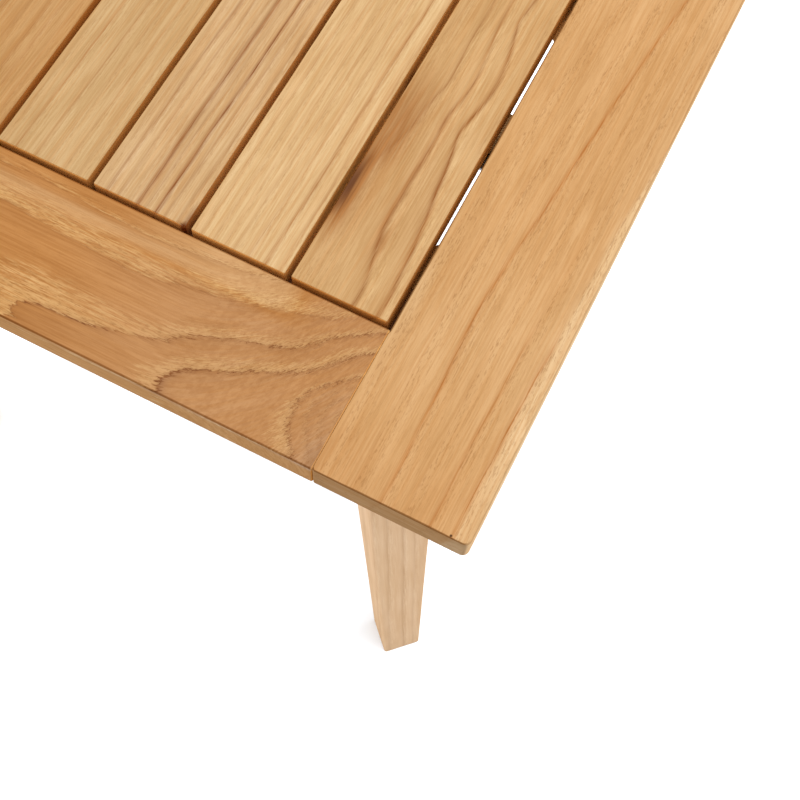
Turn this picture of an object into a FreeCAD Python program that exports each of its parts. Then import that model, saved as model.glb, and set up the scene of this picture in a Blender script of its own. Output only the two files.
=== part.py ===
import FreeCAD, Part
import os
import re
import Sketcher

# Slatted teak side table on four splayed, tapered legs. Millimetres, +Z up.
# The origin is on the floor under the middle of the top; the front is -Y, the right is +X.

doc = FreeCAD.newDocument("side_table")
sheet = doc.addObject("Spreadsheet::Sheet", "sizes")

SIZES = {
    # overall size
    "table_width": 500,
    "table_depth": 500,
    "table_height": 450,
    # frame of the top: stiles run front to back, rails butt between them
    "stile_width": 90.5,
    "rail_width": 90.5,
    "frame_thickness": 20,
    "corner_round": 4,
    "edge_ease": 1.2,
    "tenon_length": 35,
    "tenon_width": 60,
    "tenon_thickness": 6,
    "tenon_clearance": 0.2,
    # slats, laid on a ledge along the inside of each rail
    "slat_count": 5,
    "slat_gap": 4,
    "slat_end_gap": 3.2,
    "slat_thickness": 16,
    "ledge_width": 15.5,
    # batten on edge under the middle of the slats, and the stepped brackets that hang it from the stiles
    "batten_width": 17,
    "batten_height": 23,
    "batten_end_ease": 2,
    "bracket_reach": 28,
    "bracket_width": 40,
    "bracket_thickness": 2,
    "bracket_bend": 1.5,
    # legs, set at 45 degrees; setbacks run along the diagonal from the corner of the top
    "leg_foot_size": 30,
    "leg_top_size": 52.4,
    "leg_foot_setback": 48,
    "leg_top_setback": 105.3,
    "leg_edge_ease": 2,
    # brace across each corner, behind the leg
    "brace_thickness": 22,
    "brace_height": 54,
    "brace_length": 200,
    "brace_edge_ease": 1.5,
    # hanger bolts, washers and nuts that hold a leg to its brace
    "bolt_diameter": 8,
    "bolt_depth": 36,
    "bolt_drop": 16,
    "bolt_pitch": 23,
    "bolt_tail": 3,
    "bolt_chamfer": 1,
    "washer_diameter": 20,
    "washer_thickness": 1.6,
    "nut_width": 13,
    "nut_height": 6.5,
    # wood screws
    "screw_diameter": 3.5,
    "screw_head_width": 7,
    "screw_head_height": 2.4,
    "head_chamfer": 1.2,
    "slat_screw_length": 14,
    "slat_screw_sink": 2.6,
    "batten_screw_length": 24,
    "batten_screw_sink": 10,
    "bracket_screw_length": 14,
    "bracket_screw_first": 9,
    "bracket_screw_pitch": 11,
    "bracket_screw_spread": 22,
    "brace_screw_diameter": 5,
    "brace_screw_head_width": 9,
    "brace_screw_head_height": 3,
    "brace_screw_length": 40,
    "brace_screw_grip": 24,
    "brace_screw_inner": 60,
    "brace_screw_outer": 85,
    "drill_clearance": 0.1,
    "drill_overrun": 1,
}

for row, (alias, value) in enumerate(SIZES.items(), start=1):
    sheet.set(f"A{row}", alias)
    sheet.set(f"B{row}", str(value))
    sheet.setAlias(f"B{row}", alias)
doc.recompute()

ALIAS = re.compile(r"\b(" + "|".join(SIZES) + r")\b")

# Lengths that several pieces share, worked out from the sheet
FRAME_BOTTOM = "(table_height - frame_thickness)"
INNER_WIDTH = "(table_width - 2 * stile_width)"
INNER_DEPTH = "(table_depth - 2 * rail_width)"
SLAT_WIDTH = f"(({INNER_WIDTH} - (slat_count + 1) * slat_gap) / slat_count)"
SLAT_LENGTH = f"({INNER_DEPTH} - 2 * slat_end_gap)"
SLAT_BOTTOM = "(table_height - slat_thickness)"
BATTEN_BOTTOM = f"({SLAT_BOTTOM} - batten_height)"
LEDGE_THICKNESS = "(frame_thickness - slat_thickness)"
MORTISE_TOP = "(frame_thickness / 2 + tenon_thickness / 2 + tenon_clearance)"
LEG_FOOT_BACK = "(leg_foot_setback + leg_foot_size)"
LEG_TOP_BACK = "(leg_top_setback + leg_top_size)"
LEAN = f"atan(({LEG_TOP_BACK} - {LEG_FOOT_BACK}) / {FRAME_BOTTOM})"
ROOT_2 = "sqrt(2)"

# The corners of the table by name, as signs along X and Y
CORNERS = {"front_right": (1, -1), "rear_right": (1, 1), "rear_left": (-1, 1), "front_left": (-1, -1)}
YAW = {(1, -1): 135, (1, 1): -135, (-1, 1): -45, (-1, -1): 45}
SIDES = {"right": 1, "left": -1}
TOLERANCE = 1e-4


def with_sheet(text):
    """The expression with each alias read from the sheet."""
    return ALIAS.sub(r"sizes.\1", text)


def size(text):
    """The value of an expression, as a plain number."""
    return float(sheet.evalExpression(with_sheet(text)))


def bind(thing, prop, text):
    thing.setExpression(prop, with_sheet(text))


def place(thing, x, y, z, yaw="0", pitch="0", roll="0"):
    """Bind a placement: turned about X by roll, about Y by pitch, about Z by yaw, then moved."""
    bind(thing, "Placement", f"placement(vector({x}; {y}; {z}); rotation({yaw}; {pitch}; {roll}))")


def at_corner(sign_x, sign_y, back, across, height):
    """Expressions for a point `back` along the diagonal from a corner and `across` it."""
    x = f"{sign_x} * (table_width / 2 - ({back}) / {ROOT_2}) + {sign_y} * ({across}) / {ROOT_2}"
    y = f"{sign_y} * (table_depth / 2 - ({back}) / {ROOT_2}) - {sign_x} * ({across}) / {ROOT_2}"
    return x, y, height


def new_body(label):
    return doc.addObject("PartDesign::Body", label)


def outline(body, role, points, lift="0"):
    """A closed sketch of straight lines on one of the body's own planes, `lift` along its normal."""
    sketch = body.newObject("Sketcher::SketchObject", "outline")
    plane = [feature for feature in body.Origin.OriginFeatures if feature.Role == role][0]
    sketch.AttachmentSupport = [(plane, "")]
    sketch.MapMode = "FlatFace"
    bind(sketch, "AttachmentOffset.Base.z", lift)
    corners = [FreeCAD.Vector(size(x), size(y), 0) for x, y in points]
    for index, corner in enumerate(corners):
        sketch.addGeometry(Part.LineSegment(corner, corners[(index + 1) % len(corners)]))
    for index, (x, y) in enumerate(points):
        after = (index + 1) % len(points)
        sketch.addConstraint(Sketcher.Constraint("Coincident", index, 2, after, 1))
        for axis, text, on_axis in (("DistanceX", x, -2), ("DistanceY", y, -1)):
            if text == "0":
                sketch.addConstraint(Sketcher.Constraint("PointOnObject", index, 1, on_axis))
                continue
            number = sketch.addConstraint(Sketcher.Constraint(axis, -1, 1, index, 1, size(text)))
            bind(sketch, f"Constraints[{number}]", text)
    doc.recompute()
    return sketch


def rectangle(x0, x1, y0, y1):
    return [(x0, y0), (x1, y0), (x1, y1), (x0, y1)]


def pad(body, sketch, length, both_ways=False):
    feature = body.newObject("PartDesign::Pad", "pad")
    feature.Profile = sketch
    feature.SideType = "Symmetric" if both_ways else "One side"
    bind(feature, "Length", length)
    doc.recompute()
    return feature


def pocket(body, sketch, length):
    """Cut down from the sketch, and see that something came away."""
    before = body.Shape.Volume
    feature = body.newObject("PartDesign::Pocket", "pocket")
    feature.Profile = sketch
    bind(feature, "Length", length)
    doc.recompute()
    if feature.Shape.Volume > before - TOLERANCE:
        raise RuntimeError(f"{body.Label}: a pocket cuts nothing")
    return feature


def ease(body, radius, wanted):
    """Round the edges of the body's tip for which wanted(bounds) is true."""
    base = body.Tip
    edges = enumerate(base.Shape.Edges, start=1)
    names = [f"Edge{number}" for number, edge in edges if wanted(edge.BoundBox)]
    feature = body.newObject("PartDesign::Fillet", "ease")
    feature.Base = (base, names)
    bind(feature, "Radius", radius)
    doc.recompute()
    return feature


def upright(box):
    return box.XLength < TOLERANCE and box.YLength < TOLERANCE


def turned(label, points):
    """A solid of revolution about Z from half its section, given as x, z points."""
    body = new_body(label)
    sketch = outline(body, "XZ_Plane", points)
    feature = body.newObject("PartDesign::Revolution", "turning")
    feature.Profile = sketch
    feature.ReferenceAxis = (sketch, ["V_Axis"])
    feature.Angle = 360
    doc.recompute()
    return body


# Frame of the top

def stile():
    """Full-length board: x from the outer edge inwards, y along it, with a mortise near each end."""
    body = new_body("stile_blank")
    half = "table_depth / 2"
    plan = outline(body, "XY_Plane", rectangle("0", "stile_width", f"-{half}", half))
    pad(body, plan, "frame_thickness")
    ease(body, "corner_round", lambda box: upright(box) and box.XMax < TOLERANCE)
    top = size("frame_thickness")
    inner = size("stile_width")
    ease(body, "edge_ease", lambda box: box.ZMin > top - TOLERANCE or box.ZMax < TOLERANCE
         or (upright(box) and box.XMin > inner - TOLERANCE))
    depth = "tenon_length + tenon_clearance"
    half_mortise = "(tenon_width / 2 + tenon_clearance)"
    for sign in (-1, 1):
        middle = f"{sign} * (table_depth / 2 - rail_width / 2)"
        slot = rectangle(f"stile_width - ({depth})", "stile_width", f"{middle} - {half_mortise}",
                         f"{middle} + {half_mortise}")
        pocket(body, outline(body, "XY_Plane", slot, MORTISE_TOP), "tenon_thickness + 2 * tenon_clearance")
    return body


def rail():
    """Board between the stiles: y from the outer edge inwards, with a slat ledge and end tenons."""
    body = new_body("rail_blank")
    half = f"{INNER_WIDTH} / 2"
    plan = outline(body, "XY_Plane", rectangle(f"-{half}", half, "0", "rail_width"))
    pad(body, plan, "frame_thickness")
    top = size("frame_thickness")
    ease(body, "edge_ease", lambda box: box.ZMin > top - TOLERANCE or box.YMax < TOLERANCE)
    ledge = rectangle(f"-{half}", half, "rail_width", "rail_width + ledge_width")
    pad(body, outline(body, "XY_Plane", ledge), LEDGE_THICKNESS)
    near = "(rail_width - tenon_width) / 2"
    far = "(rail_width + tenon_width) / 2"
    lift = "(frame_thickness - tenon_thickness) / 2"
    for start, end in ((f"-{half} - tenon_length", f"-{half}"), (half, f"{half} + tenon_length")):
        pad(body, outline(body, "XY_Plane", rectangle(start, end, near, far), lift), "tenon_thickness")
    return body


def slat():
    """Plain board with every edge eased, centred on its middle."""
    body = new_body("slat_blank")
    half_width = f"{SLAT_WIDTH} / 2"
    half_length = f"{SLAT_LENGTH} / 2"
    plan = rectangle(f"-{half_width}", half_width, f"-{half_length}", half_length)
    pad(body, outline(body, "XY_Plane", plan), "slat_thickness")
    ease(body, "edge_ease", lambda box: True)
    return body


def batten():
    """Cross piece on edge under the slats, from stile to stile; its lower ends clear the brackets' bends."""
    body = new_body("batten_blank")
    half = f"{INNER_WIDTH} / 2"
    plan = rectangle(f"-{half}", half, "-batten_width / 2", "batten_width / 2")
    pad(body, outline(body, "XY_Plane", plan), "batten_height")
    ease(body, "batten_end_ease", lambda box: box.ZMax < TOLERANCE and box.XLength < TOLERANCE)
    return body


def bracket():
    """Steel strip with two bends: a lower tab inwards under the batten, a riser, an upper tab outwards.

    x is outwards from the inner edge of the stile and z is up from its underside.
    """
    body = new_body("bracket_blank")
    drop = f"({FRAME_BOTTOM} - {BATTEN_BOTTOM})"
    bottom = f"-({drop} + bracket_thickness)"
    section = [("-bracket_reach", bottom), ("bracket_thickness", bottom),
               ("bracket_thickness", "-bracket_thickness"), ("bracket_reach", "-bracket_thickness"),
               ("bracket_reach", "0"), ("0", "0"), ("0", f"-{drop}"), ("-bracket_reach", f"-{drop}")]
    pad(body, outline(body, "XZ_Plane", section), "bracket_width", both_ways=True)
    inner_bends = (("bracket_thickness", "-bracket_thickness"), ("0", f"-{drop}"))
    outer_bends = (("0", "0"), ("bracket_thickness", bottom))
    for bends, radius in ((inner_bends, "bracket_bend"), (outer_bends, "bracket_bend + bracket_thickness")):
        spots = [(size(x), size(z)) for x, z in bends]
        ease(body, radius, lambda box: box.YLength > TOLERANCE and any(
            abs(box.Center.x - x) < TOLERANCE and abs(box.Center.z - z) < TOLERANCE for x, z in spots))
    return body


# Legs and corner braces

def leg():
    """Square taper set back from the corner along x; its foot and its top are both level."""
    body = new_body("leg_blank")
    blank = body.newObject("PartDesign::AdditiveWedge", "taper")
    blank.Placement.Rotation = FreeCAD.Rotation(FreeCAD.Vector(1, 0, 0), 90)
    bind(blank, "Ymin", "0")
    bind(blank, "Ymax", FRAME_BOTTOM)
    bind(blank, "Xmin", "leg_foot_setback")
    bind(blank, "Xmax", LEG_FOOT_BACK)
    bind(blank, "X2min", "leg_top_setback")
    bind(blank, "X2max", LEG_TOP_BACK)
    bind(blank, "Zmin", "-leg_foot_size / 2")
    bind(blank, "Zmax", "leg_foot_size / 2")
    bind(blank, "Z2min", "-leg_top_size / 2")
    bind(blank, "Z2max", "leg_top_size / 2")
    doc.recompute()
    ease(body, "leg_edge_ease", lambda box: box.ZLength > TOLERANCE)
    return body


def brace():
    """Board across the corner: x is square to the back of the leg, z runs up along it."""
    body = new_body("brace_blank")
    rise = f"brace_thickness * tan({LEAN})"
    section = [("0", "-brace_height"), ("brace_thickness", f"{rise} - brace_height"),
               ("brace_thickness", rise), ("0", "0")]
    pad(body, outline(body, "XZ_Plane", section), "brace_length", both_ways=True)
    bottom = size(f"{rise} - brace_height") + TOLERANCE
    ease(body, "brace_edge_ease", lambda box: box.ZMax < bottom and box.XLength < TOLERANCE)
    return body


# Fasteners, each with its seat at z = 0 and its head, or its nut, towards +z

def screw(label, diameter, head_width, head_height, length):
    shank = f"{diameter} / 2"
    head = f"{head_width} / 2"
    return turned(label, [("0", head_height), (f"{head} - head_chamfer", head_height),
                          (head, f"{head_height} - head_chamfer"), (head, "0"), (shank, "0"),
                          (shank, f"{diameter} - {length}"), ("0", f"-{length}")])


def drill(label, diameter, head_width, length, sink):
    """The hole for a screw: a close hole for the shank and, outwards of the seat, room for the head."""
    shank = f"({diameter} / 2 + drill_clearance)"
    head = f"({head_width} / 2 + drill_clearance)"
    deep = f"-({length} + drill_clearance)"
    return turned(label, [("0", sink), (head, sink), (head, "0"), (shank, "0"), (shank, deep), ("0", deep)])


def hanger_bolt():
    """Stud with a wood end in the leg and a machine end through the brace, the leg's face at z = 0."""
    radius = "bolt_diameter / 2"
    end = "(brace_thickness + washer_thickness + nut_height + bolt_tail)"
    section = [("0", end), (f"{radius} - bolt_chamfer", end), (radius, f"{end} - bolt_chamfer"),
               (radius, "bolt_diameter - bolt_depth"), ("0", "-bolt_depth")]
    return turned("bolt_pattern", section)


def bolt_drill():
    radius = "(bolt_diameter / 2 + drill_clearance)"
    deep = "-(bolt_depth + drill_clearance)"
    out = "(brace_thickness + drill_overrun)"
    return turned("bolt_drill", [("0", out), (radius, out), (radius, deep), ("0", deep)])


def washer():
    hole = "(bolt_diameter / 2 + drill_clearance)"
    rim = "washer_diameter / 2"
    section = [(hole, "0"), (rim, "0"), (rim, "washer_thickness"), (hole, "washer_thickness")]
    return turned("washer_pattern", section)


def nut():
    """Hexagon across flats nut_width with the bolt's hole through it."""
    body = new_body("nut_pattern")
    flat = "nut_width / 2"
    corner = f"{flat} / cos(30)"
    side = f"{flat} * tan(30)"
    hexagon = [(flat, f"-{side}"), (flat, side), ("0", corner), (f"-{flat}", side), (f"-{flat}", f"-{side}"),
               ("0", f"-{corner}")]
    pad(body, outline(body, "XY_Plane", hexagon), "nut_height")
    hole = body.newObject("PartDesign::SubtractiveCylinder", "bolt_hole")
    bind(hole, "Radius", "bolt_diameter / 2 + drill_clearance")
    bind(hole, "Height", "nut_height")
    doc.recompute()
    return body


# Where each fastener sits, as placement expressions, and which pieces it is drilled through

drilled_by = {}
groups = {}


def fasten(group, pattern, drill_pattern, spot, through):
    """Add one fastener to a group and one hole for it to each piece that it passes through."""
    copy = doc.addObject("App::Link", f"{group}_copy")
    copy.LinkedObject = pattern
    place(copy, *spot)
    groups.setdefault(group, []).append(copy)
    for node in through:
        hole = doc.addObject("App::Link", f"{node}_hole")
        hole.LinkedObject = drill_pattern
        place(hole, *spot)
        drilled_by.setdefault(node, []).append(hole)


def slat_x(number):
    """The middle of a slat, counted from the right."""
    return f"({INNER_WIDTH} / 2 - slat_gap - {SLAT_WIDTH} / 2 - {number - 1} * ({SLAT_WIDTH} + slat_gap))"


SLAT_NUMBERS = range(1, round(size("slat_count")) + 1)
SMALL_SCREW = ("screw_diameter", "screw_head_width")

slat_screw = screw("slat_screw_pattern", *SMALL_SCREW, "screw_head_height", "slat_screw_length")
slat_drill = drill("slat_drill", *SMALL_SCREW, "slat_screw_length", "(slat_screw_sink + drill_overrun)")
batten_screw = screw("batten_screw_pattern", *SMALL_SCREW, "screw_head_height", "batten_screw_length")
batten_drill = drill("batten_drill", *SMALL_SCREW, "batten_screw_length",
                     "(batten_screw_sink + drill_overrun)")
ledge_middle = f"({INNER_DEPTH} / 2 - (slat_end_gap + ledge_width) / 2)"
for number in SLAT_NUMBERS:
    for rail_name, sign in (("front_rail", -1), ("rear_rail", 1)):
        seat = f"{FRAME_BOTTOM} + slat_screw_sink"
        spot = (slat_x(number), f"{sign} * {ledge_middle}", seat, "0", "0", "180")
        fasten("slat_end_screws", slat_screw, slat_drill, spot, (rail_name, f"slat_{number}"))
    spot = (slat_x(number), "0", f"{BATTEN_BOTTOM} + batten_screw_sink", "0", "0", "180")
    fasten("slat_middle_screws", batten_screw, batten_drill, spot, ("centre_batten", f"slat_{number}"))

bracket_screw = screw("bracket_screw_pattern", *SMALL_SCREW, "screw_head_height", "bracket_screw_length")
bracket_drill = drill("bracket_drill", *SMALL_SCREW, "bracket_screw_length", "drill_overrun")
for name, sign in SIDES.items():
    bracket_name = f"bracket_{name}"
    for along in ("bracket_screw_first", "(bracket_screw_first + bracket_screw_pitch)"):
        on_batten = (f"{sign} * ({INNER_WIDTH} / 2 - {along})", "0", f"{BATTEN_BOTTOM} - bracket_thickness",
                     "0", "0", "180")
        fasten("bracket_screws", bracket_screw, bracket_drill, on_batten, (bracket_name, "centre_batten"))
    for side in (-1, 1):
        on_stile = (f"{sign} * ({INNER_WIDTH} / 2 + bracket_screw_first + bracket_screw_pitch / 2)",
                    f"{side} * bracket_screw_spread / 2", f"{FRAME_BOTTOM} - bracket_thickness",
                    "0", "0", "180")
        fasten("bracket_screws", bracket_screw, bracket_drill, on_stile, (bracket_name, f"{name}_stile"))

brace_screw = screw("brace_screw_pattern", "brace_screw_diameter", "brace_screw_head_width",
                    "brace_screw_head_height", "brace_screw_length")
brace_drill = drill("brace_drill", "brace_screw_diameter", "brace_screw_head_width", "brace_screw_length",
                    "(brace_height - brace_screw_grip + brace_thickness)")
bolt = hanger_bolt()
bolt_hole = bolt_drill()
washer_ring = washer()
bolt_nut = nut()
for name, (sign_x, sign_y) in CORNERS.items():
    yaw = f"{YAW[(sign_x, sign_y)]}"
    rail_name = "front_rail" if sign_y < 0 else "rear_rail"
    stile_name = "right_stile" if sign_x > 0 else "left_stile"
    back = f"{LEG_TOP_BACK} + brace_thickness / 2 * cos({LEAN}) - brace_screw_grip * sin({LEAN})"
    height = f"{FRAME_BOTTOM} - brace_thickness / 2 * sin({LEAN}) - brace_screw_grip * cos({LEAN})"
    for offset in ("brace_screw_inner", "brace_screw_outer"):
        for side in (-1, 1):
            board = rail_name if side * sign_x * sign_y < 0 else stile_name
            spot = at_corner(sign_x, sign_y, back, f"{side} * {offset}", height) + (yaw, LEAN, "180")
            fasten("brace_screws", brace_screw, brace_drill, spot, (f"brace_{name}", board))
    for drop in ("bolt_drop", "(bolt_drop + bolt_pitch)"):
        for group, pattern, out in (("leg_bolts", bolt, "0"), ("leg_washers", washer_ring, "brace_thickness"),
                                    ("leg_nuts", bolt_nut, "(brace_thickness + washer_thickness)")):
            back_of = f"{LEG_TOP_BACK} - {drop} * sin({LEAN}) + {out} * cos({LEAN})"
            height_of = f"{FRAME_BOTTOM} - {drop} * cos({LEAN}) - {out} * sin({LEAN})"
            spot = at_corner(sign_x, sign_y, back_of, "0", height_of) + (yaw, f"90 deg + {LEAN}", "0")
            through = (f"leg_{name}", f"brace_{name}") if group == "leg_bolts" else ()
            fasten(group, pattern, bolt_hole, spot, through)

# The sub-parts: each board is drilled for its fasteners, and takes its node's name

nodes = []


def finish(body, label, *spot):
    """Place a board, cut its holes and keep the result as a node."""
    place(body, *spot)
    body.Label = f"{label} before drilling"
    holes = doc.addObject("Part::Compound", f"{label}_holes")
    holes.Links = drilled_by[label]
    cut = doc.addObject("Part::Cut", label)
    cut.Base = body
    cut.Tool = holes
    doc.recompute()
    if cut.Shape.Volume > body.Shape.Volume - TOLERANCE:
        raise RuntimeError(f"{label}: its holes miss it")
    cut.Label = label
    nodes.append(cut)


finish(stile(), "right_stile", "table_width / 2", "0", FRAME_BOTTOM, "180")
finish(stile(), "left_stile", "-table_width / 2", "0", FRAME_BOTTOM)
finish(rail(), "front_rail", "0", "-table_depth / 2", FRAME_BOTTOM)
finish(rail(), "rear_rail", "0", "table_depth / 2", FRAME_BOTTOM, "180")
for number in SLAT_NUMBERS:
    finish(slat(), f"slat_{number}", slat_x(number), "0", SLAT_BOTTOM)
finish(batten(), "centre_batten", "0", "0", BATTEN_BOTTOM)
for name, sign in SIDES.items():
    turn = "0" if sign > 0 else "180"
    finish(bracket(), f"bracket_{name}", f"{sign} * {INNER_WIDTH} / 2", "0", FRAME_BOTTOM, turn)
for name, (sign_x, sign_y) in CORNERS.items():
    yaw = f"{YAW[(sign_x, sign_y)]}"
    finish(brace(), f"brace_{name}", *at_corner(sign_x, sign_y, LEG_TOP_BACK, "0", FRAME_BOTTOM), yaw, LEAN)
    finish(leg(), f"leg_{name}", *at_corner(sign_x, sign_y, "0", "0", "0"), yaw)
for label, copies in groups.items():
    group = doc.addObject("Part::Compound", label)
    group.Links = copies
    group.Label = label
    nodes.append(group)
doc.recompute()

# Check everything, then write one file for each node

for thing in doc.Objects:
    if "Invalid" in thing.State or "Error" in thing.State:
        raise RuntimeError(f"{thing.Label}: {thing.State}")
for node in nodes:
    if node.Shape.isNull() or not node.Shape.isValid() or not node.Shape.Solids:
        raise RuntimeError(f"{node.Label}: no sound solid")
os.makedirs("parts", exist_ok=True)
for node in nodes:
    node.Shape.exportStep(os.path.join("parts", f"{node.Label}.step"))
    print(f"{node.Label}: {len(node.Shape.Solids)} solid(s), {node.Shape.Volume / 1000:.1f} cm3")
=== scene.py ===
"""Looks of the teak side table: each board has its own grain, the fittings are steel, the floor is pale."""
import math

import bpy
import numpy as np
from mathutils import Matrix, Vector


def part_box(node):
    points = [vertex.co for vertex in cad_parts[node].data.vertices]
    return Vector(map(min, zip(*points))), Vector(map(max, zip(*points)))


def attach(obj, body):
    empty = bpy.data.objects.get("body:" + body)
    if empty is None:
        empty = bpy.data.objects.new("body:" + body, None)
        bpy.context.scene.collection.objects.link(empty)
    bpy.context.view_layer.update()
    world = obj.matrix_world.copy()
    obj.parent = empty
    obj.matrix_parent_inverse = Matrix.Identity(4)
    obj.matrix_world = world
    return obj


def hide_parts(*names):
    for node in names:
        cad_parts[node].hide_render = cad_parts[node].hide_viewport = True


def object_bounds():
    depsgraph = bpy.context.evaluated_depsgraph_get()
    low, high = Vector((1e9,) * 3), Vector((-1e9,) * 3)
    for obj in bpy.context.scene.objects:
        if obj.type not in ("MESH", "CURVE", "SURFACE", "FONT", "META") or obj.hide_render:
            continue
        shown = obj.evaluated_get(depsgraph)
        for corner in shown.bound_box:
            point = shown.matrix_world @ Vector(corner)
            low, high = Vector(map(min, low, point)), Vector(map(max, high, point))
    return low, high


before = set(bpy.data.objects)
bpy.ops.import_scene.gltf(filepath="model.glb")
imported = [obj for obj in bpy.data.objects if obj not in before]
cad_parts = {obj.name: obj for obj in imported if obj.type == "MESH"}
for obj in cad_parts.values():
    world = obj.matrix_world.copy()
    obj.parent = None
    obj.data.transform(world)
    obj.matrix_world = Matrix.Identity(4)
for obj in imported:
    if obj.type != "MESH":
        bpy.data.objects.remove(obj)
cad_low, cad_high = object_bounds()

MM = 0.001
TOP = cad_high[2] / MM
BODY = "root"
CORNERS = {"front_right": (1, -1), "rear_right": (1, 1), "rear_left": (-1, 1), "front_left": (-1, -1)}

# Camera: where it stands and how it is turned, in degrees
CAMERA_PLACE = (0.2801, -0.44671, 1.09673)
CAMERA_YAW = 21.1164
CAMERA_TILT = 22.7352
CAMERA_ROLL = 6.0618
CAMERA_LENS = 59.678
SENSOR_WIDTH = 36.0

# Boards, in metres
FRAME_EASE = 1.2 * MM
CORNER_ROUND = 4 * MM
INNER_CORNER = 1.6 * MM
SLAT_EASE = 0.6 * MM
SLAT_CORNER = 1.0 * MM
SLAT_END_GAP = 3.2 * MM
LEG_EDGE = 2.2 * MM
LEG_END_EASE = 1.0 * MM
EASE_UNEVEN = 0.12
EASE_WAVE = (90 * MM, 40 * MM)
FRAME_STEP = 2.5 * MM
LEG_STEP = 4 * MM
FLAT_MARGIN = 1.3
QUARTER_POINTS = 5
TINY = 1e-9
SCREW_HOLE_RADIUS = 3.6 * MM
SCREW_HOLE_SINK = 2.6 * MM
HOLE_SIDES = 32
CHIP_DEPTH = 1.8 * MM
FLOOR_HALF = 20.0

# Where the grid lines of a quarter round lie from its edge, as shares of its radius, in even steps of turn
ROUND_STEPS = [1 - math.tan(math.radians(angle)) for angle in (30, 15)]
ROUND_SHARES = np.array([0, *ROUND_STEPS, 1, FLAT_MARGIN])


def smooth(low, high, value):
    """0 below low, 1 above high and 3 t^2 - 2 t^3 between, t being the share of the way."""
    share = np.clip((value - low) / (high - low), 0, 1)
    return share * share * (3 - 2 * share)


def bump(value, centre, reach):
    """A bell: exp(-((value - centre) / reach)^2)."""
    return np.exp(-(((value - centre) / reach) ** 2))


SINES = (1, 2, 3)
SINE_GROWTH = 1.3


def waves(seed, along, across, reach, spread):
    """A slow random wave: three sines of falling length and height, each with a seeded start and slant."""
    draw = np.random.default_rng(seed)
    total = np.zeros_like(along)
    for sine in SINES:
        start = draw.uniform(0, 2 * np.pi)
        slant = draw.uniform(-1, 1)
        turns = sine ** SINE_GROWTH * (along / reach + slant * across / spread)
        total += np.sin(2 * np.pi * turns + start) / sine
    return total


def quads(net):
    """The faces between neighbours in a net of point numbers."""
    corners = (net[:-1, :-1], net[1:, :-1], net[1:, 1:], net[:-1, 1:])
    return np.stack(corners, -1).reshape(-1, 4)


def grid_lines(low, high, step, offsets):
    """Grid lines from low to high, at most a step apart, with the lines of the rounds near both ends."""
    count = math.ceil((high - low - 2 * offsets[-1]) / step) + 1
    middle = np.linspace(low + offsets[-1], high - offsets[-1], count)
    return np.concatenate([low + offsets[:-1], middle, (high - offsets[:-1])[::-1]])


def block_skin(lines):
    """The closed skin of a block: a point where grid lines cross on its sides, four points to a face."""
    shape = [len(line) for line in lines]
    outside = np.zeros(shape, bool)
    for axis in range(3):
        np.moveaxis(outside, axis, 0)[[0, -1]] = True
    number = np.full(shape, -1)
    number[outside] = np.arange(outside.sum())
    points = np.stack(np.meshgrid(*lines, indexing="ij"), -1)[outside]
    sides = (number[-1], number[0].T, number[:, 0], number[:, -1].T, number[:, :, -1], number[:, :, 0].T)
    return points, np.concatenate([quads(side) for side in sides]).tolist()


def eased_block(low, high, ease, corners, step, seed, tighter=None):
    """The skin of a board whose corners are round in plan and whose edges are eased above and below.

    In plan, an offset (a, b) past a corner's centre is turned into a quarter disc: it keeps its direction
    and takes the larger of a and b as its length. In section the same is done to the offset past an edge's
    centre, with length e, the ease. The ease swells and shrinks a little along the board, and is scaled by
    tighter(points) if that is given. corners are the radii at low and high X.
    """
    low = np.array(low)
    high = np.array(high)
    plan = np.unique(np.outer((*corners, ease), ROUND_SHARES))
    lines = [grid_lines(low[axis], high[axis], step, plan) for axis in (0, 1)]
    lines.append(grid_lines(low[2], high[2], step, ease * ROUND_SHARES))
    points, faces = block_skin(lines)
    middle = (low + high) / 2
    half = (high - low) / 2
    side = np.sign(points - middle)
    reach = np.abs(points - middle)
    length = points[:, 0] + points[:, 1]
    ease = ease * (1 + EASE_UNEVEN * waves(seed, length, points[:, 2], *EASE_WAVE))
    if tighter is not None:
        ease = ease * tighter(points)
    radius = np.where(points[:, 0] < middle[0], *corners)
    past = np.maximum(reach[:, :2] - half[:2] + radius[:, None], 0)
    larger = past.max(axis=1)
    outward = past / np.maximum(np.linalg.norm(past, axis=1), TINY)[:, None]
    reach[:, :2] += outward * larger[:, None] - past
    over_side = np.maximum(ease - radius + larger, 0)
    over_end = np.maximum(ease - half[2] + reach[:, 2], 0)
    turn = ease / np.maximum(np.hypot(over_side, over_end), TINY)
    reach[:, :2] -= outward * (over_side * (1 - turn))[:, None]
    reach[:, 2] -= over_end * (1 - turn)
    return middle + side * reach, faces


def outline_points(corners, radius, step):
    """A closed outline of square corners, each a quarter round, with the straights divided evenly.

    A round runs from corner - d1 r to corner + d2 r, where d1 comes in and d2 goes out:
    corner - d1 r (1 - sin f) + d2 r (1 - cos f), with f from 0 to 90 degrees.
    """
    corners = np.array(corners)
    ahead = np.roll(corners, -1, 0) - corners
    ahead /= np.linalg.norm(ahead, axis=1)[:, None]
    behind = np.roll(ahead, 1, 0)
    turn = np.radians(np.linspace(0, 90, QUARTER_POINTS))[:, None]
    stretches = []
    for index, corner in enumerate(corners):
        start = -behind[index] * radius * (1 - np.sin(turn))
        finish = ahead[index] * radius * (1 - np.cos(turn))
        stretches.append(corner + start + finish)
        here = corner + ahead[index] * radius * FLAT_MARGIN
        there = corners[(index + 1) % len(corners)] - ahead[index] * radius * FLAT_MARGIN
        count = math.ceil(np.linalg.norm(there - here) / step) + 1
        stretches.append(np.linspace(here, there, count))
    return np.concatenate(stretches)


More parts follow.
